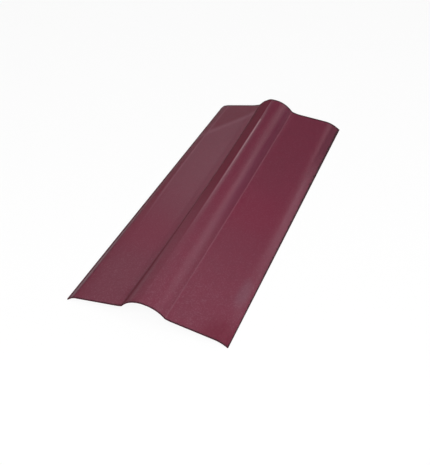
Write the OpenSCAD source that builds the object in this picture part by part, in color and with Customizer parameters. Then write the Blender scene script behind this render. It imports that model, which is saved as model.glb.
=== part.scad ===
// Ridge cap for a roof of corrugated bitumen-fibre sheets: one moulded sheet
// with a rounded roll along its middle, a sloping wing on each side of the roll
// and a turned-down lip along each outer edge.
// The roll is broad and even at the wide end. Toward the narrow end the sheet has
// taken a set: the roll leans to the left, its crown creases and then swings out,
// the left foot is drawn in half way along, the left wing gets a steeper border,
// and the right wing hangs into a broader lip.
// The cap lies on its two outer edges. The origin is on the floor under its
// middle, +Y runs along the ridge to the narrow end, and +Z is up.

/* [Sheet] */
// Length of the cap along the ridge
length = 1000; // [600:50:1500]
// Width over the two outer edges, as the cap lies
width = 420; // [360:10:560]
// Thickness of the moulded sheet
thickness = 3; // [2:0.5:5]

/* [Wide end, both sides] */
// Width of the turned-down lip
wide_lip_w = 14.9; // [8:0.1:30]
// Drop of the lip from its bend to the outer edge
wide_lip_drop = 11.9; // [4:0.1:20]
// Radius of the lip's bend
wide_lip_r = 82; // [10:2:120]
// Distance of the wing's inner bend from the cap's middle
wide_toe_out = 66.6; // [62:0.1:85]
// Height of that bend above the floor
wide_toe_h = 32.9; // [26:0.1:40]
// Radius of that bend
wide_toe_r = 85; // [10:1:150]
// Distance of the roll's foot from the cap's middle
wide_foot_out = 56.5; // [50:0.5:60]
// Height of the roll's foot above the floor
wide_foot_h = 36; // [32:0.1:42]
// Radius of the hollow bend along the foot
wide_foot_r = 5; // [3:0.5:30]
// Distance of the roll's shoulder from the cap's middle
wide_shoulder_out = 38.4; // [28:0.1:46]
// Height of the shoulder above the floor
wide_shoulder_h = 58.2; // [50:0.1:61]
// Radius of the shoulder's bend
wide_shoulder_r = 96; // [10:1:120]

/* [Wide end, left side and crown] */
// Width of the border between the left lip and the wing
wide_border_w = 9.5; // [5:0.5:30]
// Drop of the border over that width
wide_border_drop = 1.9; // [0.5:0.1:6]
// How far the roll has crept to the left
wide_creep = 0.6; // [0:0.1:4]
// Distance of the crown's bend line to the left of the cap's middle
wide_crown_left = 4; // [0:0.5:12]
// Height of the crown's bend line above the floor
wide_crown_h = 63.9; // [62:0.1:76]
// Radius of the crown
wide_crown_r = 100; // [20:1:140]

/* [Narrow end, left side] */
// Width of the turned-down lip
left_lip_w = 9.8; // [6:0.1:30]
// Drop of the lip from its bend to the outer edge
left_lip_drop = 9.9; // [4:0.1:18]
// Radius of the lip's bend
left_lip_r = 8; // [4:1:60]
// Width of the border between the lip and the wing
left_border_w = 13.9; // [6:0.1:30]
// Drop of the border over that width
left_border_drop = 5; // [1:0.1:8]
// Radius of the bend between border and wing
left_border_r = 20; // [4:1:60]
// Distance of the wing's inner bend from the cap's middle
left_toe_out = 88.8; // [78:0.1:105]
// Height of that bend above the floor
left_toe_h = 34.2; // [26:0.1:38]
// Radius of that bend
left_toe_r = 132; // [10:1:160]
// Distance of the roll's foot from the cap's middle
left_foot_out = 69.2; // [62:0.1:76]
// Height of the roll's foot above the floor
left_foot_h = 40.4; // [36:0.1:46]
// Radius of the hollow bend along the foot
left_foot_r = 5; // [3:0.5:30]
// Distance of the roll's shoulder from the cap's middle
left_shoulder_out = 53.2; // [44:0.1:58]
// Height of the shoulder above the floor
left_shoulder_h = 56.4; // [50:0.1:62]
// Radius of the shoulder's bend
left_shoulder_r = 10; // [4:1:40]

/* [Narrow end, right side] */
// Width of the turned-down lip
right_lip_w = 29.5; // [10:0.5:50]
// Drop of the lip from its bend to the outer edge
right_lip_drop = 19.5; // [4:0.5:24]
// Radius of the lip's bend
right_lip_r = 80; // [10:1:120]
// Distance of the wing's inner bend from the cap's middle
right_toe_out = 61.3; // [54:0.1:80]
// Height of that bend above the floor
right_toe_h = 30.5; // [24:0.1:34]
// Radius of that bend
right_toe_r = 151; // [10:1:180]
// Distance of the roll's foot from the cap's middle
right_foot_out = 45; // [38:0.5:52]
// Height of the roll's foot above the floor
right_foot_h = 35.8; // [32:0.1:42]
// Radius of the hollow bend along the foot
right_foot_r = 5; // [3:0.5:30]
// Distance of the roll's shoulder from the cap's middle
right_shoulder_out = 15.4; // [6:0.1:26]
// Height of the shoulder above the floor
right_shoulder_h = 66.9; // [60:0.1:70]
// Radius of the shoulder's bend
right_shoulder_r = 81; // [10:1:100]

/* [Narrow end, crown] */
// Distance of the crown's bend line to the left of the cap's middle
narrow_crown_left = 31.7; // [22:0.1:38]
// Height of the crown's bend line above the floor
narrow_crown_h = 68.8; // [66:0.1:78]
// Radius of the crown
narrow_crown_r = 25; // [6:1:80]
// How far of that distance the bend line swings out close to the narrow end
crown_swing = 8.3; // [0:0.1:14]
// Length of that last stretch
swing_l = 130; // [40:5:300]

/* [Half way along] */
// Sag of the left wing's inner bend below its straight line
toe_sag = 3.5; // [0:0.5:6]
// How far the roll's left foot is drawn in
foot_draw = 8.6; // [0:0.1:12]
// Sag of the left foot
foot_sag = 2.7; // [0:0.1:6]
// Sag of the left shoulder
shoulder_sag = 5.3; // [0:0.1:7]
// How far the crown's bend line is drawn to the right
crown_draw = 1.4; // [0:0.1:6]
// Rise of the crown's bend line
crown_rise = 2.2; // [0:0.1:6]

/* [Hidden] */
// Flat steps around each bend, and spans along the cap outside the last stretch
// and in it
bend_steps = 8;
spans = 10;
swing_spans = 4;
// The most of a straight that the bends at its two ends may take up
bent_share = 0.97;
LEFT = -1;
RIGHT = 1;

// The bends of one side of a section, from the outer edge to the shoulder. The
// bends of the rim are steps in from the edge, each [width, drop, radius], and
// the others are [distance out, height, radius].
wide_lip = [wide_lip_w, wide_lip_drop, wide_lip_r];
wide_bends = [[wide_toe_out, wide_toe_h, wide_toe_r],
              [wide_foot_out, wide_foot_h, wide_foot_r],
              [wide_shoulder_out, wide_shoulder_h, wide_shoulder_r]];
wide_left_rim = [wide_lip, [wide_border_w, wide_border_drop, left_border_r]];
wide_right_rim = [wide_lip];
left_rim = [[left_lip_w, left_lip_drop, left_lip_r],
            [left_border_w, left_border_drop, left_border_r]];
left_bends = [[left_toe_out, left_toe_h, left_toe_r],
              [left_foot_out, left_foot_h, left_foot_r],
              [left_shoulder_out, left_shoulder_h, left_shoulder_r]];
right_rim = [[right_lip_w, right_lip_drop, right_lip_r]];
right_bends = [[right_toe_out, right_toe_h, right_toe_r],
               [right_foot_out, right_foot_h, right_foot_r],
               [right_shoulder_out, right_shoulder_h, right_shoulder_r]];
wide_crown = [-wide_crown_left, wide_crown_h, wide_crown_r];
narrow_crown = [crown_swing - narrow_crown_left, narrow_crown_h, narrow_crown_r];

// How far each bend line bows out and up from its straight line half way along
unbowed = [[0, 0], [0, 0], [0, 0]];
left_bows = [[0, -toe_sag], [-foot_draw, -foot_sag], [0, -shoulder_sag]];
crown_bow = [crown_draw, crown_rise];

// A bend at a share of the length, 0 at the wide end and 1 at the narrow. It
// tightens evenly along the cap, so it is the curvature that is blended.
function blend(wide, narrow, share) = wide * (1 - share) + narrow * share;
function swell(share) = 4 * share * (1 - share);
function bend_at(wide, narrow, bow, share) =
    [blend(wide[0], narrow[0], share) + swell(share) * bow[0],
     blend(wide[1], narrow[1], share) + swell(share) * bow[1],
     1 / blend(1 / wide[2], 1 / narrow[2], share)];
function bends_at(wide, narrow, bows, share) =
    [for (i = [0:len(wide) - 1]) bend_at(wide[i], narrow[i], bows[i], share)];

// The rim's bends there, each step added to the ones outside it. The outer edge
// is set in by the slope of its cut face, so that the sheet is just as wide as
// the cap and touches the floor.
function run_up(steps, last, k) = last < 0 ? 0 : steps[last][k] + run_up(steps, last - 1, k);
function rim_at(side, wide, narrow, share) =
    let (steps = bends_at(wide, narrow, unbowed, share),
         lip_slope = atan2(steps[0][1], steps[0][0]),
         edge_x = width / 2 - sin(lip_slope) * thickness / 2,
         edge_h = cos(lip_slope) * thickness / 2)
    [[side * edge_x, edge_h, 0],
     for (i = [0:len(steps) - 1])
        [side * (edge_x - run_up(steps, i, 0)), edge_h + run_up(steps, i, 1), steps[i][2]]];

function inner_at(side, narrow, bows, share) =
    [for (bend = bends_at(wide_bends, narrow, bows, share))
        [side * bend[0] - wide_creep * (1 - share), bend[1], bend[2]]];

// The crown's bend, which swings out to the left over the last stretch
function crown_at(share) =
    let (swung = max(0, 1 - (1 - share) * length / swing_l),
         bend = bend_at(wide_crown, narrow_crown, crown_bow, share))
    [bend[0] - crown_swing * pow(swung, 2), bend[1], bend[2]];

// The whole middle line there, from the left edge to the right, as bends that
// are each [x, height, radius]
function reversed(list) = [for (i = [len(list) - 1:-1:0]) list[i]];
function section_at(share) =
    concat(rim_at(LEFT, wide_left_rim, left_rim, share),
           inner_at(LEFT, left_bends, left_bows, share),
           [crown_at(share)],
           reversed(inner_at(RIGHT, right_bends, unbowed, share)),
           reversed(rim_at(RIGHT, wide_right_rim, right_rim, share)));

function flat(bend) = [bend[0], bend[1]];
function unit(v) = v / norm(v);
function turned(v, angle) = [v[0] * cos(angle) - v[1] * sin(angle),
                             v[0] * sin(angle) + v[1] * cos(angle)];

// The way the middle line leaves a bend, and how far it turns there
function heading(section, i) = unit(flat(section[i + 1]) - flat(section[i]));
function turn_at(section, i) =
    let (before = heading(section, i - 1), after = heading(section, i))
    atan2(cross(before, after), before * after);

// How much of the straight on each side a bend's arc takes up. Where two
// neighbours ask for more than they may share of the straight between them,
// both get less.
function wanted_reach(section, i) =
    i == 0 || i == len(section) - 1
    ? 0
    : section[i][2] * tan(abs(turn_at(section, i)) / 2);
function squeeze(section, i) =
    let (room = bent_share * norm(flat(section[i + 1]) - flat(section[i])),
         wanted = wanted_reach(section, i) + wanted_reach(section, i + 1))
    wanted > room ? room / wanted : 1;

// Each place on the middle line is [point, normal that points up]
function arc_places(section, i) =
    let (way = heading(section, i - 1),
         turn = turn_at(section, i),
         fit = min(squeeze(section, i - 1), squeeze(section, i)),
         reach = fit * wanted_reach(section, i),
         up = [-way[1], way[0]],
         start = flat(section[i]) - way * reach,
         spoke = up * sign(turn) * fit * section[i][2])
    [for (step = [0:bend_steps])
        let (swing = turn * step / bend_steps)
        [start + spoke - turned(spoke, swing), turned(up, swing)]];

function end_place(section, i, way) =
    [flat(section[i]), [-way[1], way[0]]];

function places(section) =
    let (last = len(section) - 1)
    concat([end_place(section, 0, heading(section, 0))],
           [for (i = [1:last - 1]) each arc_places(section, i)],
           [end_place(section, last, heading(section, last - 1))]);

// One side of the sheet at one station: face is 1 for the top, -1 underneath
function sheet_line(section, face, y) =
    [for (place = places(section))
        let (p = place[0] + place[1] * face * thickness / 2)
        [p[0], y, p[1]]];

// The stations along the cap, as distances from the wide end
stretch_start = length - swing_l;
stations = concat([for (i = [0:spans - 1]) stretch_start * i / spans],
                  [for (i = [0:swing_spans]) stretch_start + swing_l * i / swing_spans]);

// The moulded sheet, as a skin of triangles over the stations. A quad's four
// corners are given clockwise as seen from outside.
module moulded_sheet() {
    across = len(places(section_at(0)));
    last = len(stations) - 1;
    points = [for (station = stations, face = [1, -1])
        each sheet_line(section_at(station / length), face, station - length / 2)];
    function top(i, k) = 2 * i * across + k;
    function under(i, k) = top(i, k) + across;
    function quad(a, b, c, d) = [[a, b, c], [a, c, d]];

    skin = [for (i = [0:last - 1], k = [0:across - 2])
        each concat(
            quad(top(i, k), top(i + 1, k), top(i + 1, k + 1), top(i, k + 1)),
            quad(under(i, k), under(i, k + 1),
                 under(i + 1, k + 1), under(i + 1, k)))];
    long_edges = [for (i = [0:last - 1])
        each concat(
            quad(top(i, 0), under(i, 0), under(i + 1, 0), top(i + 1, 0)),
            quad(top(i, across - 1), top(i + 1, across - 1),
                 under(i + 1, across - 1), under(i, across - 1)))];
    cut_ends = [for (k = [0:across - 2])
        each concat(
            quad(top(0, k), top(0, k + 1), under(0, k + 1), under(0, k)),
            quad(top(last, k), under(last, k),
                 under(last, k + 1), top(last, k + 1)))];
    polyhedron(points = points, faces = concat(skin, long_edges, cut_ends));
}

module ridge_cap() {
    color("#74404d") moulded_sheet();
}

ridge_cap();
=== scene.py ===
import math

import bpy
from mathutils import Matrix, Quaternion, Vector


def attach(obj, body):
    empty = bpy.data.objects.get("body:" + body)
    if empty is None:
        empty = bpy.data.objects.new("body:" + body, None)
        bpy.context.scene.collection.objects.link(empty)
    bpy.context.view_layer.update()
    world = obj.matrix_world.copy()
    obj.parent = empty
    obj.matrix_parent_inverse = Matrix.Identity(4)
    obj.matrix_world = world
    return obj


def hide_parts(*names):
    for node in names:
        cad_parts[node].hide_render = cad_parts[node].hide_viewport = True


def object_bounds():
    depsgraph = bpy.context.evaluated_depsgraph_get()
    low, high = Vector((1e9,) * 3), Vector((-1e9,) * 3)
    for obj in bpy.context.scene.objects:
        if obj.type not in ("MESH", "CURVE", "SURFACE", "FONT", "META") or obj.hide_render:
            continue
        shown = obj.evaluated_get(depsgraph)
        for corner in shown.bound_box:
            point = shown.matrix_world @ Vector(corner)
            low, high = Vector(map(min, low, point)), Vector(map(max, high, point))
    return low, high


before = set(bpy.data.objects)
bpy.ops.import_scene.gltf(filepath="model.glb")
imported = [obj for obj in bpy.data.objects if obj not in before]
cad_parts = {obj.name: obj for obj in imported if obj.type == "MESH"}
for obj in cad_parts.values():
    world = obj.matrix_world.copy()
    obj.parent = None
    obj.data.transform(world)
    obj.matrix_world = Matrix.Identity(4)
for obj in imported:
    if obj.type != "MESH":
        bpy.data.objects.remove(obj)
cad_low, cad_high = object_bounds()

# ---------------------------------------------------------------------------
# The moulded sheet: one sheet of cellulose fibre board, pressed wet between two dies, soaked
# with hot bitumen and painted on its top face. Its middle line is drawn at stations along the
# cap, the stations are bridged to a skin, and the skin gets its wall and rounded cut edges.

SHEET_THICKNESS = 0.003
EDGE_ROUNDING = 0.0004
# The rounded cut ends stay just inside the cap's length
END_GAP = 0.0001
half_width = cad_high.x
half_length = cad_high.y - END_GAP

# The rim's bends, as steps in from the outer edge, each (width, drop, radius):
# the lip, and on the left a border between the lip and the wing
WIDE_LEFT_RIM = (0.0149, 0.0119, 0.082), (0.0095, 0.0019, 0.020)
WIDE_RIGHT_RIM = ((0.0149, 0.0119, 0.082),)
LEFT_RIM = (0.0098, 0.0099, 0.008), (0.0139, 0.0050, 0.020)
RIGHT_RIM = ((0.0295, 0.0195, 0.080),)
# The toe, foot and shoulder, each (distance out, height, radius)
WIDE_BENDS = (0.0666, 0.0329, 0.085), (0.0565, 0.0360, 0.005), (0.0384, 0.0582, 0.096)
LEFT_BENDS = (0.0888, 0.0342, 0.132), (0.0692, 0.0404, 0.005), (0.0532, 0.0564, 0.010)
RIGHT_BENDS = (0.0613, 0.0305, 0.151), (0.0450, 0.0358, 0.005), (0.0154, 0.0669, 0.081)
# The crown, which swings out to the left over the last stretch
CROWN_SWING = 0.0083
SWING_LENGTH = 0.130
WIDE_CROWN = (-0.0040, 0.0639, 0.100)
NARROW_CROWN = (-0.0317 + CROWN_SWING, 0.0688, 0.025)
WIDE_CREEP = 0.0006
# How far each bend bows off its straight line half way along, as (out, up)
LEFT_BOWS = (0, -0.0035), (-0.0086, -0.0027), (0, -0.0053)
UNBOWED = (0, 0), (0, 0), (0, 0)
CROWN_BOW = (0.0014, 0.0022)

LONG_SPANS = 14
SWING_SPANS = 6
ROWS_BETWEEN = 2
RIM_STEPS = 8
TOE_STEPS = 6
FOOT_STEPS = 8
SHOULDER_STEPS = 10
CROWN_STEPS = 16
# The most of a straight that the bends at its two ends may take up
MOST_BENT = 0.97
# Faces that meet at less than the first angle are one smooth bend, at more than the
# second a cut edge
SMOOTH_ANGLE = math.radians(40)
CUT_EDGE_ANGLE = math.radians(60)


def blend(wide, narrow, share):
    return wide * (1 - share) + narrow * share


def bend_at(wide, narrow, bow, share):
    """One bend at a share of the length; it tightens evenly from end to end."""
    swell = 4 * share * (1 - share)
    return (
        blend(wide[0], narrow[0], share) + swell * bow[0],
        blend(wide[1], narrow[1], share) + swell * bow[1],
        1 / blend(1 / wide[2], 1 / narrow[2], share),
    )


def rim_at(side, wide, narrow, share):
    """The outer edge and the rim's bends, each step added to the ones outside it."""
    steps = [bend_at(*pair, (0, 0), share) for pair in zip(wide, narrow)]
    slope = math.atan2(steps[0][1], steps[0][0])
    out = half_width - math.sin(slope) * SHEET_THICKNESS / 2
    height = math.cos(slope) * SHEET_THICKNESS / 2
    bends = [(side * out, height, 0, 0)]
    for width, drop, radius in steps:
        out, height = out - width, height + drop
        bends.append((side * out, height, radius, RIM_STEPS))
    return bends


def inner_at(side, narrow, bows, share):
    """The toe, the foot and the shoulder of one side."""
    bends = [bend_at(*bend, share) for bend in zip(WIDE_BENDS, narrow, bows)]
    return [
        (side * out - WIDE_CREEP * (1 - share), height, radius, steps)
        for (out, height, radius), steps in zip(bends, (TOE_STEPS, FOOT_STEPS, SHOULDER_STEPS))
    ]


def crown_at(share):
    x, height, radius = bend_at(WIDE_CROWN, NARROW_CROWN, CROWN_BOW, share)
    swung = max(0, 1 - (1 - share) * 2 * half_length / SWING_LENGTH)
    return x - CROWN_SWING * swung ** 2, height, radius, CROWN_STEPS


def draw_section(share):
    """Draws the middle line at one station: a vertex is extruded straight by straight,
    and spun round the centre of each bend."""
    bends = [
        *rim_at(-1, WIDE_LEFT_RIM, LEFT_RIM, share),
        *inner_at(-1, LEFT_BENDS, LEFT_BOWS, share),
        crown_at(share),
        *reversed(inner_at(1, RIGHT_BENDS, UNBOWED, share)),
        *reversed(rim_at(1, WIDE_RIGHT_RIM, RIGHT_RIM, share)),
    ]
    y = blend(-half_length, half_length, share)
    corners = [Vector((x, y, height)) for x, height, _, _ in bends]
    ways = [(b - a).normalized() for a, b in zip(corners, corners[1:])]
    turns = [0] + [
        math.atan2(before.x * after.z - before.z * after.x, before.dot(after))
        for before, after in zip(ways, ways[1:])
    ] + [0]
    reaches = [bend[2] * math.tan(abs(turn) / 2) for bend, turn in zip(bends, turns)]
    fits = [
        min(1, MOST_BENT * (b - a).length / (reach_a + reach_b))
        for a, b, reach_a, reach_b in zip(corners, corners[1:], reaches, reaches[1:])
    ]
    bpy.ops.mesh.select_all(action="DESELECT")
    bpy.ops.mesh.primitive_plane_add(size=SHEET_THICKNESS, location=corners[0])
    bpy.ops.mesh.merge(type="CENTER")
    pen = corners[0]
    for i in range(1, len(corners)):
        fit = min(fits[i - 1], fits[i]) if i < len(fits) else 0
        start = corners[i] - ways[i - 1] * reaches[i] * fit
        bpy.ops.mesh.extrude_region_move(TRANSFORM_OT_translate={"value": start - pen})
        pen = start
        if bends[i][3]:
            up = Vector((-ways[i - 1].z, 0, ways[i - 1].x))
            centre = start + up * math.copysign(fit * bends[i][2], turns[i])
            bpy.ops.mesh.spin(steps=bends[i][3], angle=-turns[i], center=centre, axis=(0, -1, 0))
            pen = corners[i] + ways[i] * reaches[i] * fit


bpy.ops.object.select_all(action="DESELECT")
bpy.ops.mesh.primitive_plane_add(size=SHEET_THICKNESS)
sheet = bpy.context.object
sheet.name = "ridge_cap_sheet"
bpy.ops.object.mode_set(mode="EDIT")
bpy.ops.mesh.select_all(action="SELECT")
bpy.ops.mesh.delete(type="VERT")
swing_start = 1 - SWING_LENGTH / (2 * half_length)
for station in range(LONG_SPANS):
    draw_section(swing_start * station / LONG_SPANS)
for station in range(SWING_SPANS + 1):
    draw_section(blend(swing_start, 1, station / SWING_SPANS))
bpy.ops.mesh.select_all(action="SELECT")
bpy.ops.mesh.bridge_edge_loops(number_cuts=ROWS_BETWEEN, interpolation="LINEAR")
bpy.ops.mesh.select_all(action="SELECT")
bpy.ops.mesh.normals_make_consistent(inside=False)
bpy.ops.object.mode_set(mode="OBJECT")
if sheet.data.polygons[0].normal.z < 0:
    sheet.data.flip_normals()

# One slot each for the top face, the underside and the cut edges
TOP_SLOT, UNDER_SLOT, CUT_SLOT = range(3)
for _ in (TOP_SLOT, UNDER_SLOT, CUT_SLOT):
    bpy.ops.object.material_slot_add()
wall = sheet.modifiers.new("wall", "SOLIDIFY")
wall.thickness = SHEET_THICKNESS
wall.offset = 0
wall.use_even_offset = True
wall.material_offset = UNDER_SLOT
wall.material_offset_rim = CUT_SLOT
bpy.ops.object.modifier_apply(modifier=wall.name)
bpy.ops.object.shade_smooth_by_angle(angle=SMOOTH_ANGLE)
worn = sheet.modifiers.new("worn edges", "BEVEL")
worn.width = EDGE_ROUNDING
worn.segments = 2
worn.limit_method = "ANGLE"
worn.angle_limit = CUT_EDGE_ANGLE
worn.harden_normals = True
worn.material = CUT_SLOT
bpy.ops.object.modifier_apply(modifier=worn.name)
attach(sheet, "root")
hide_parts("ridge_cap")


# The sheet's finishes. Fibre grain, worn edges and mottling are shared; the paint
# is sprayed on the top face only, the underside is bare bitumen with the print of
# the forming screen, and the cut edges show the raw board.


def add_node(tree, kind, sockets=(), **settings):
    """Adds a node. A value that is another node's output is linked, any other is set."""
    node = tree.nodes.new("ShaderNode" + kind)
    for name, value in settings.items():
        setattr(node, name, value)
    for key, value in dict(sockets).items():
        if isinstance(value, bpy.types.NodeSocket):
            tree.links.new(value, node.inputs[key])
        else:
            node.inputs[key].default_value = value
    return node


def reckon(tree, operation, *values):
    return add_node(tree, "Math", enumerate(values), operation=operation).outputs[0]


def fade(tree, value, low, high):
    """A soft step, 0 at low and 1 at high."""
    sockets = {"Value": value, "From Min": low, "From Max": high}
    return add_node(tree, "MapRange", sockets, interpolation_type="SMOOTHSTEP").outputs[0]


def times(tree, mask, *others):
    """Masks and strengths multiplied together."""
    for other in others:
        mask = reckon(tree, "MULTIPLY", mask, other)
    return mask


def strip(tree, beside, edge, middle):
    """A strip along a line, 0 from its edge outwards and 1 from its middle inwards."""
    return fade(tree, reckon(tree, "ABSOLUTE", beside), edge, middle)


def spot(tree, where, centre, edge, middle):
    """A round patch, 0 at its edge and 1 in its middle."""
    away = add_node(tree, "VectorMath", {0: where, 1: centre}, operation="DISTANCE")
    return fade(tree, away.outputs["Value"], edge, middle)


def cover(tree, under, over, mask, *strength):
    """A colour laid over another where the mask is 1, as thick as its strength."""
    mask = times(tree, mask, *strength)
    return add_node(tree, "Mix", {0: mask, 6: under, 7: over}, data_type="RGBA").outputs[2]


def new_group(name, inputs, outputs):
    """An empty node group: its tree, the sockets it takes and the sockets it gives."""
    group = bpy.data.node_groups.new(name, "ShaderNodeTree")
    for socket, kind in inputs.items():
        group.interface.new_socket(socket, in_out="INPUT", socket_type="NodeSocket" + kind)
    for socket in outputs:
        group.interface.new_socket(socket, in_out="OUTPUT", socket_type="NodeSocketFloat")
    taken = group.nodes.new("NodeGroupInput").outputs
    given = group.nodes.new("NodeGroupOutput").inputs
    return group, taken, given


def place_group(tree, group, sockets):
    return add_node(tree, "Group", sockets, node_tree=group).outputs


# Pebbled board with short fibres that lie mostly along the cap
grain_group, taken, given = new_group(
    "fibre_grain", {"Place": "Vector", "Pebbles": "Float", "Fibres": "Float"}, ("Height", "Fleck"))
pebbles = add_node(grain_group, "TexNoise", {
    "Vector": taken["Place"], "Scale": taken["Pebbles"], "Detail": 2, "Roughness": 0.55})
drawn_out = add_node(grain_group, "VectorMath", {0: taken["Place"], 1: (1, 0.25, 1)}, operation="MULTIPLY")
fibres = add_node(grain_group, "TexNoise", {
    "Vector": drawn_out.outputs[0], "Scale": taken["Fibres"], "Detail": 3, "Distortion": 1.2})
fibre = strip(grain_group, reckon(grain_group, "SUBTRACT", fibres.outputs[0], 0.5), 0.05, 0)
height = reckon(grain_group, "MULTIPLY_ADD", fibre, 0.06, pebbles.outputs[0])
grain_group.links.new(height, given["Height"])
tops = fade(grain_group, pebbles.outputs[0], 0.5, 0.68)
grain_group.links.new(reckon(grain_group, "MULTIPLY_ADD", fibre, 0.3, tops), given["Fleck"])

# Wear that eats in from the four outer edges
edge_group, taken, given = new_group("edge_wear", {"Place": "Vector", "Reach": "Float"}, ("Wear",))
place = add_node(edge_group, "SeparateXYZ", {0: taken["Place"]}).outputs
from_lip = reckon(edge_group, "SUBTRACT", half_width, reckon(edge_group, "ABSOLUTE", place[0]))
from_end = reckon(edge_group, "SUBTRACT", half_length, reckon(edge_group, "ABSOLUTE", place[1]))
ragged = add_node(edge_group, "TexNoise", {"Vector": taken["Place"], "Scale": 140, "Detail": 3})
nearest = reckon(edge_group, "MINIMUM", from_lip, from_end)
swing = reckon(edge_group, "SUBTRACT", ragged.outputs[0], 0.5)
depth = reckon(edge_group, "MULTIPLY_ADD", swing, times(edge_group, taken["Reach"], 1.5), nearest)
worn_through = times(edge_group, taken["Reach"], 0.6)
edge_group.links.new(fade(edge_group, depth, taken["Reach"], worn_through), given["Wear"])

# Cloudy patches, from 0 to 1
cloud_group, taken, given = new_group("clouds", {"Place": "Vector", "Scale": "Float"}, ("Cloud",))
clouds = add_node(cloud_group, "TexNoise", {
    "Vector": taken["Place"], "Scale": taken["Scale"], "Detail": 3, "Roughness": 0.6})
cloud_group.links.new(fade(cloud_group, clouds.outputs[0], 0.3, 0.7), given["Cloud"])

# How far a place lies to the right of a bend line that bows half way along
line_group, taken, given = new_group(
    "beside_bend", {"Place": "Vector", "Wide End": "Float", "Narrow End": "Float", "Bow": "Float"},
    ("Beside", "Share"))
place = add_node(line_group, "SeparateXYZ", {0: taken["Place"]}).outputs
share = reckon(line_group, "MULTIPLY_ADD", place[1], 0.5 / half_length, 0.5)
straight = add_node(line_group, "Mix", {0: share, 2: taken["Wide End"], 3: taken["Narrow End"]})
swell = times(line_group, share, 4, reckon(line_group, "SUBTRACT", 1, share))
line = reckon(line_group, "MULTIPLY_ADD", swell, taken["Bow"], straight.outputs[0])
line_group.links.new(reckon(line_group, "SUBTRACT", place[0], line), given["Beside"])
line_group.links.new(share, given["Share"])


def follow(tree, where, line):
    """How far a place lies to the right of one of the sheet's lines, and its share of the length."""
    wide_end, narrow_end, bow = line
    followed = place_group(tree, line_group, {
        "Place": where, "Wide End": wide_end, "Narrow End": narrow_end, "Bow": bow})
    return followed["Beside"], followed["Share"]


def finish(name, slot):
    """A new finish on the sheet: its node tree, its shader's sockets and the place on the sheet."""
    material = bpy.data.materials.new(name)
    material.use_nodes = True
    sheet.material_slots[slot].material = material
    tree = material.node_tree
    where = tree.nodes.new("ShaderNodeTexCoord").outputs["Object"]
    return tree, tree.nodes["Principled BSDF"].inputs, where


def relieve(tree, shader, height, depth):
    """Fine relief on the finish, as deep as its depth where the height goes from 0 to 1."""
    bump = add_node(tree, "Bump", {"Height": height, "Strength": 1, "Distance": depth})
    tree.links.new(bump.outputs[0], shader["Normal"])


# Burgundy roof paint, satin, thin enough for the board's grain to show
PAINT = (0.147, 0.0235, 0.0460, 1)
PAINT_RED = (0.158, 0.0200, 0.0435, 1)
PAINT_BROWN = (0.137, 0.0235, 0.0440, 1)
# Painted shade, on the steep flanks, the left rim, the right lip's wide corner and the dull left border
# and corner
SHADED_PAINT = (0.115, 0.0040, 0.0190, 1)
# Painted shade on the turned-down lips
SHADED_LIP_PAINT = (0.088, 0.0070, 0.0240, 1)
PATCH_GREY = (0.124, 0.0370, 0.0520, 1)
# A painted sheen on the right lip
PALE_SHEEN = (0.150, 0.0460, 0.0700, 1)
# Painted sheen on the left toe
SHEEN_PAINT = (0.190, 0.0360, 0.0620, 1)
# Painted shade, with a bluish cast, in the hollow above the right foot
SHADED_HOLLOW_PAINT = (0.114, 0.0180, 0.0540, 1)
# Pale flecks on the grain's tops, and the colour of the painted highlights on the right shoulder, lip and
# foot and on the left border's raised lines
CHALK_AND_HIGHLIGHT = (0.260, 0.1100, 0.1450, 1)
# A painted highlight along the crown's crease
HIGHLIGHT_PAINT = (0.400, 0.2200, 0.2500, 1)
RAW_FIBRE = (0.032, 0.0040, 0.0090, 1)
SATIN_ROUGHNESS = 0.285
PAINT_RELIEF = 0.0001
# Lines along the sheet, each (place at the wide end, at the narrow end, bow to the right)
LEFT_FOOT_LINE = (-0.0571, -0.0692, 0.0086)
RIGHT_FOOT_LINE = (0.0559, 0.0450, 0.0025)
SHOULDER_LINE = (0.0390, 0.0270, 0)
CREASE_LINE = (-0.0045, -0.0225, 0.0025)
BORDER_LINE = (-0.1450, -0.1800, -0.0135)

tree, shader, where = finish("burgundy_paint", TOP_SLOT)
across = add_node(tree, "SeparateXYZ", {0: where}).outputs["X"]
left_foot, along = follow(tree, where, LEFT_FOOT_LINE)
right_foot = follow(tree, where, RIGHT_FOOT_LINE)[0]
shoulder = follow(tree, where, SHOULDER_LINE)[0]
crease = follow(tree, where, CREASE_LINE)[0]
border = follow(tree, where, BORDER_LINE)[0]
grain = place_group(tree, grain_group, {"Place": where, "Pebbles": 270, "Fibres": 110})
broad = place_group(tree, cloud_group, {"Place": where, "Scale": 4.5})["Cloud"]
small = place_group(tree, cloud_group, {"Place": where, "Scale": 38})["Cloud"]
colour = cover(tree, PAINT, PAINT_BROWN, broad, 0.8)
colour = cover(tree, colour, PAINT_RED, small, 0.35)

# Redder patches half way along both wings, a greyer patch on the left wing near the wide
# end, and a painted sheen along the right lip
right_patch = spot(tree, where, (0.105, -0.05, 0.025), 0.15, 0.03)
colour = cover(tree, colour, PAINT_RED, right_patch, 0.8)
left_patch = spot(tree, where, (-0.130, -0.22, 0.025), 0.14, 0.03)
colour = cover(tree, colour, PAINT_RED, left_patch, 0.7)
grey_patch = spot(tree, where, (-0.150, -0.42, 0.025), 0.20, 0.03)
colour = cover(tree, colour, PATCH_GREY, grey_patch, 0.3)
squeezed = add_node(tree, "VectorMath", {0: where, 1: (1, 0.3, 1)}, operation="MULTIPLY")
lip_sheen = spot(tree, squeezed.outputs[0], (0.186, -0.102, 0.015), 0.022, 0.006)
colour = cover(tree, colour, PALE_SHEEN, lip_sheen, 0.8)
# The grain shows most at the wide end
flecks = reckon(tree, "MULTIPLY_ADD", fade(tree, along, 0.3, 0.08), 0.11, 0.16)
colour = cover(tree, colour, CHALK_AND_HIGHLIGHT, grain["Fleck"], flecks)
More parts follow.
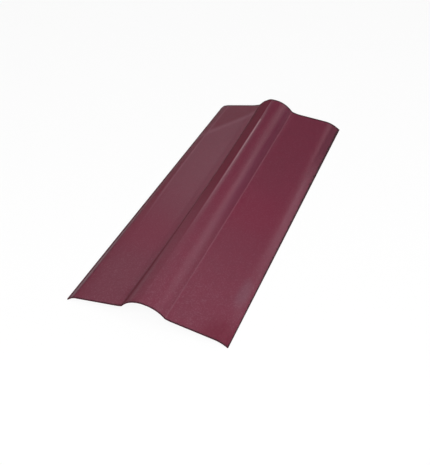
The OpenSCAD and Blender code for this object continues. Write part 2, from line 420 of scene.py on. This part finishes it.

# Painted shade: the roll's steep flanks are darkened, most of all on the left from the foot
# up to the crease, and so is the left rim; the left flank's coat is also made matt
upright = add_node(tree, "SeparateXYZ", {0: where.node.outputs["Normal"]}).outputs["Z"]
steep = fade(tree, upright, 0.88, 0.74)
narrow_half = fade(tree, along, 0.15, 0.6)
left_of_crease = fade(tree, crease, -0.0025, -0.005)
past_foot = fade(tree, left_foot, -0.001, 0.001)
more_at_narrow = reckon(tree, "MULTIPLY_ADD", narrow_half, 0.75, 0.25)
up_to_crease = times(tree, past_foot, left_of_crease, more_at_narrow)
in_foot = times(tree, past_foot, fade(tree, left_foot, 0.030, 0.010), 0.6)
matt_and_shaded = reckon(tree, "MAXIMUM", times(tree, left_of_crease, steep), up_to_crease)
matt_and_shaded = reckon(tree, "MAXIMUM", matt_and_shaded, in_foot)
left_rim_shade = times(tree, fade(tree, across, -0.150, -0.182), fade(tree, along, 0.7, 0.45), 0.26)
flank_and_rim_shade = reckon(tree, "MAXIMUM", times(tree, narrow_half, steep, 0.5), matt_and_shaded)
flank_and_rim_shade = reckon(tree, "MAXIMUM", flank_and_rim_shade, left_rim_shade)
colour = cover(tree, colour, SHADED_PAINT, flank_and_rim_shade, 0.9)

# Painted shade on the turned-down lips: the right one is darkened at its narrow end and at
# its wide corner, the left one all along; the right one's narrow end is also rougher
right_lip = times(tree, fade(tree, across, 0.180, 0.190), fade(tree, along, 0.62, 0.88))
colour = cover(tree, colour, SHADED_LIP_PAINT, right_lip, 0.75)
less_at_narrow = reckon(tree, "MULTIPLY_ADD", narrow_half, -0.4, 0.8)
colour = cover(tree, colour, SHADED_LIP_PAINT, fade(tree, across, -0.186, -0.197), less_at_narrow)
corner = spot(tree, where, (0.19, -0.49, 0.01), 0.085, 0.015)
colour = cover(tree, colour, SHADED_PAINT, corner, 0.6)

# Painted sheen on the left toe beside its foot, a painted highlight along the right shoulder
# and the right lip, and painted shade with a bluish cast in the hollow above the right foot
toe_sheen = times(tree, fade(tree, left_foot, -0.024, -0.006), fade(tree, left_foot, 0, -0.002), narrow_half)
colour = cover(tree, colour, SHEEN_PAINT, toe_sheen, 0.5)
on_shoulder = times(tree, strip(tree, shoulder, 0.014, 0.002), fade(tree, along, -0.3, 0.5))
on_lip = times(tree, fade(tree, across, 0.182, 0.192), fade(tree, along, 0.2, 0.45))
shoulder_and_lip_highlight = reckon(tree, "MAXIMUM", on_shoulder, on_lip)
shoulder_and_lip_highlight = times(tree, shoulder_and_lip_highlight, fade(tree, along, 0.82, 0.55))
colour = cover(tree, colour, CHALK_AND_HIGHLIGHT, shoulder_and_lip_highlight, 0.2)
hollow_shade = times(tree, fade(tree, right_foot, -0.024, -0.013), fade(tree, right_foot, 0, -0.004))
hollow_shade = times(tree, hollow_shade, fade(tree, along, 0.25, 0.5))
colour = cover(tree, colour, SHADED_HOLLOW_PAINT, hollow_shade, 0.3)

# A painted highlight along the crown's crease as far as the next cap's lap, and another
# along the right foot's bend over its whole length
LAP_SHARE = 0.87
before_lap = fade(tree, along, LAP_SHARE, LAP_SHARE - 0.01)
crease_highlight = times(tree, strip(tree, crease, 0.0026, 0.0006), before_lap, fade(tree, along, 0.25, 0.9))
colour = cover(tree, colour, HIGHLIGHT_PAINT, crease_highlight, 0.72)
colour = cover(tree, colour, CHALK_AND_HIGHLIGHT, strip(tree, right_foot, 0.0022, 0.0006), 0.25)

# The left border, and the corner beyond a slanting line at the lap, are rougher and darkened
# with painted shade, and each ends in a line that stands up a little, with a painted highlight
ACROSS_SLANT = (-0.771, 0.637, 0)
SLANT_DISTANCE = 0.333
slant = add_node(tree, "VectorMath", {0: where, 1: ACROSS_SLANT}, operation="DOT_PRODUCT")
past_slant = reckon(tree, "SUBTRACT", slant.outputs["Value"], SLANT_DISTANCE)
on_left_wing = fade(tree, left_foot, -0.001, -0.004)
border_share = fade(tree, along, 0.25, 0.5)
on_border = times(tree, fade(tree, border, 0.002, -0.003), border_share)
in_corner = times(tree, fade(tree, past_slant, 0, 0.024), 0.75)
dull_and_shaded = times(tree, reckon(tree, "MAXIMUM", on_border, in_corner), on_left_wing)
by_border = times(tree, strip(tree, border, 0.005, 0.001), border_share)
raised_and_highlit = reckon(tree, "MAXIMUM", strip(tree, past_slant, 0.016, 0), by_border)
raised_and_highlit = times(tree, raised_and_highlit, on_left_wing)
colour = cover(tree, colour, SHADED_PAINT, dull_and_shaded, 0.6)
colour = cover(tree, colour, CHALK_AND_HIGHLIGHT, raised_and_highlit, 0.28)

# The paint has worn off the outer edges, further in towards the narrow end
reach = reckon(tree, "MULTIPLY_ADD", along, 0.0048, 0.0028)
wear = place_group(tree, edge_group, {"Place": where, "Reach": reach})["Wear"]
colour = cover(tree, colour, RAW_FIBRE, wear)
tree.links.new(colour, shader["Base Color"])

# The gloss is lost where the coat is dull, dry or worn
roughness = SATIN_ROUGHNESS
for mask, rise in ((dull_and_shaded, 0.16), (small, 0.04), (matt_and_shaded, 0.7), (right_lip, 0.55), (wear, 0.1)):
    roughness = reckon(tree, "MULTIPLY_ADD", mask, rise, roughness)
tree.links.new(roughness, shader["Roughness"])
relieve(tree, shader, reckon(tree, "MULTIPLY_ADD", raised_and_highlit, 0.4, grain["Height"]), PAINT_RELIEF)

# Bare bitumen board underneath, with the print of the forming screen's wires
SCREEN_PITCH = 0.0032
BITUMEN = (0.020, 0.0165, 0.0155, 1)
BITUMEN_PALE = (0.048, 0.0390, 0.0340, 1)
BITUMEN_FLECK = (0.090, 0.0700, 0.0580, 1)
BITUMEN_RELIEF = 0.00018
BITUMEN_ROUGHNESS = 0.5

tree, shader, where = finish("bitumen_board", UNDER_SLOT)
grain = place_group(tree, grain_group, {"Place": where, "Pebbles": 520, "Fibres": 110})
broad = place_group(tree, cloud_group, {"Place": where, "Scale": 9})["Cloud"]
wear = place_group(tree, edge_group, {"Place": where, "Reach": 0.002})["Wear"]
place = add_node(tree, "SeparateXYZ", {0: where}).outputs
wires = [
    reckon(tree, "SINE", reckon(tree, "MULTIPLY", place[axis], 2 * math.pi / SCREEN_PITCH))
    for axis in ("X", "Y")
]
colour = cover(tree, BITUMEN, BITUMEN_PALE, broad)
colour = cover(tree, colour, BITUMEN_FLECK, grain["Fleck"], 0.4)
colour = cover(tree, colour, RAW_FIBRE, wear, 0.6)
tree.links.new(colour, shader["Base Color"])
tree.links.new(reckon(tree, "MULTIPLY_ADD", broad, 0.16, BITUMEN_ROUGHNESS), shader["Roughness"])
height = reckon(tree, "MULTIPLY_ADD", times(tree, *wires), 0.6, grain["Height"])
relieve(tree, shader, height, BITUMEN_RELIEF)

# The cut edges, where a thin mist of paint lies on the board's dark layers
CUT_DARK = (0.048, 0.0085, 0.0155, 1)
CUT_PALE = (0.082, 0.0150, 0.0260, 1)
CUT_RELIEF = 0.0002

tree, shader, where = finish("cut_fibre", CUT_SLOT)
grain = place_group(tree, grain_group, {"Place": where, "Pebbles": 700, "Fibres": 260})
layered = add_node(tree, "VectorMath", {0: where, 1: (1, 1, 40)}, operation="MULTIPLY")
layers = place_group(tree, cloud_group, {"Place": layered.outputs[0], "Scale": 45})["Cloud"]
colour = cover(tree, CUT_DARK, CUT_PALE, layers)
colour = cover(tree, colour, RAW_FIBRE, grain["Fleck"], 0.25)
tree.links.new(colour, shader["Base Color"])
shader["Roughness"].default_value = 0.85
shader["Specular IOR Level"].default_value = 0.05
relieve(tree, shader, reckon(tree, "MULTIPLY_ADD", layers, 0.8, grain["Height"]), CUT_RELIEF)

# ---------------------------------------------------------------------------
# The studio: a plain white floor with a low round backdrop at its edge, a nearly dark
# world and soft boxes round the cap. The white is seen and mirrored, but doesn't light it.

FLOOR_SIZE = 40
BACKDROP_RADIUS = 19.5
BACKDROP_HEIGHT = 2.3
FLOOR_WHITE = 0.9
WORLD_STRENGTH = 0.012

bpy.ops.object.select_all(action="DESELECT")
bpy.ops.mesh.primitive_plane_add(size=FLOOR_SIZE, location=(0, 0, 0))
floor = bpy.context.object
floor.name = "studio_floor"
floor_material = bpy.data.materials.new("white_floor")
floor_material.use_nodes = True
floor.data.materials.append(floor_material)
tree = floor_material.node_tree
lit = tree.nodes["Principled BSDF"]
lit.inputs["Base Color"].default_value = (FLOOR_WHITE, FLOOR_WHITE, FLOOR_WHITE, 1)
lit.inputs["Roughness"].default_value = 0.9
lit.inputs["Specular IOR Level"].default_value = 0.1
ray = add_node(tree, "LightPath").outputs
seen = reckon(tree, "ADD", ray["Is Camera Ray"], ray["Is Glossy Ray"])
seen = reckon(tree, "ADD", seen, ray["Is Transmission Ray"])
plain_white = add_node(tree, "Emission").outputs[0]
mixed = add_node(tree, "MixShader", {0: times(tree, seen, FLOOR_WHITE), 1: lit.outputs[0], 2: plain_white})
tree.links.new(mixed.outputs[0], tree.nodes["Material Output"].inputs["Surface"])

bpy.ops.mesh.primitive_cylinder_add(
    vertices=128, radius=BACKDROP_RADIUS, depth=BACKDROP_HEIGHT,
    end_fill_type="NOTHING", location=(0, 0, BACKDROP_HEIGHT / 2))
backdrop = bpy.context.object
backdrop.name = "studio_backdrop"
bpy.ops.object.transform_apply(location=True, rotation=False, scale=False)
bpy.ops.object.shade_smooth()
backdrop.data.materials.append(floor_material)

world = bpy.data.worlds.new("studio")
bpy.context.scene.world = world
world.use_nodes = True
sky = world.node_tree.nodes["Background"].inputs
sky["Color"].default_value = (1, 1, 1, 1)
sky["Strength"].default_value = WORLD_STRENGTH

LIGHT_DISTANCE = 3.2
LIT_POINT = Vector((0, 0, 0.03))


def soft_box(name, azimuth, elevation, spread_across, spread_up, strength, distance=LIGHT_DISTANCE):
    """A soft box that faces the cap. Angles in degrees; azimuth turns from +Y to +X."""
    turn, rise = math.radians(azimuth), math.radians(elevation)
    toward = Vector((math.sin(turn) * math.cos(rise), math.cos(turn) * math.cos(rise), math.sin(rise)))
    light = bpy.data.lights.new(name, "AREA")
    light.shape = "RECTANGLE"
    light.size = 2 * distance * math.tan(math.radians(spread_across) / 2)
    light.size_y = 2 * distance * math.tan(math.radians(spread_up) / 2)
    light.energy = math.pi * light.size * light.size_y * strength
    box = bpy.data.objects.new(name, light)
    bpy.context.scene.collection.objects.link(box)
    box.location = LIT_POINT + toward * distance
    box.rotation_mode = "QUATERNION"
    box.rotation_quaternion = toward.to_track_quat("Z", "Y")


# Low along the far side, whose gloss gives the wings their sheen
soft_box("far_core", -20, 31, 8, 12, 1.651)
soft_box("far_sheen", -32, 34, 16, 6, 0.899)
soft_box("far_low_sheen", -32, 25, 16, 12, 0.607)
soft_box("far_low_left", -50, 22, 12, 6, 0.764)
soft_box("far_left", -56, 40, 16, 7, 0.944)
soft_box("far_middle_right", 32, 29, 18, 9, 0.663)
soft_box("far_low_middle", 16, 25, 16, 12, 0.727)
soft_box("far_low_right", 53, 22, 22, 6, 1.393)
soft_box("far_right", 44, 37, 9, 12, 1.266)
# High along the far side
soft_box("high_left", -36, 49.5, 32, 14, 0.395)
soft_box("high_middle", -8, 57, 16, 14, 0.517)
soft_box("high_right", 16, 53, 16, 8, 0.599)
soft_box("upper_right", 32, 46, 16, 7, 1.236)
# The main lights, on the near side and overhead
soft_box("near_key", 170, 40, 60, 40, 2.558)
soft_box("near_far_key", 170, 40, 50, 40, 1.436, distance=6)
soft_box("right_key", 120, 37.5, 40, 35, 2.298, distance=4.5)
soft_box("overhead", 0, 90, 80, 40, 0.934)

# ---------------------------------------------------------------------------
# The camera stands beyond the cap's wide end, to the right and above it, and looks down
# along it towards the narrow end.

CAMERA_PLACE = (0.57496, -1.40734, 1.14808)
CAMERA_PITCH, CAMERA_YAW, CAMERA_ROLL = 39.6643, 23.2506, -1.3811
SENSOR_WIDTH = 36
LENS_LENGTH = 51.540124
LENS_SHIFT = (-0.00058, 0.00024)
camera_data = bpy.data.cameras.new("camera")
camera_data.sensor_width = SENSOR_WIDTH
camera_data.lens = LENS_LENGTH
camera_data.shift_x, camera_data.shift_y = LENS_SHIFT
camera = bpy.data.objects.new("camera", camera_data)
bpy.context.scene.collection.objects.link(camera)
camera.location = CAMERA_PLACE
camera.rotation_mode = "QUATERNION"
camera.rotation_quaternion = (
    Quaternion((0, 0, 1), math.radians(CAMERA_YAW))
    @ Quaternion((1, 0, 0), math.radians(90 - CAMERA_PITCH))
    @ Quaternion((0, 0, 1), math.radians(CAMERA_ROLL))
)
bpy.context.scene.camera = camera
bpy.context.scene.view_settings.view_transform = "Standard"
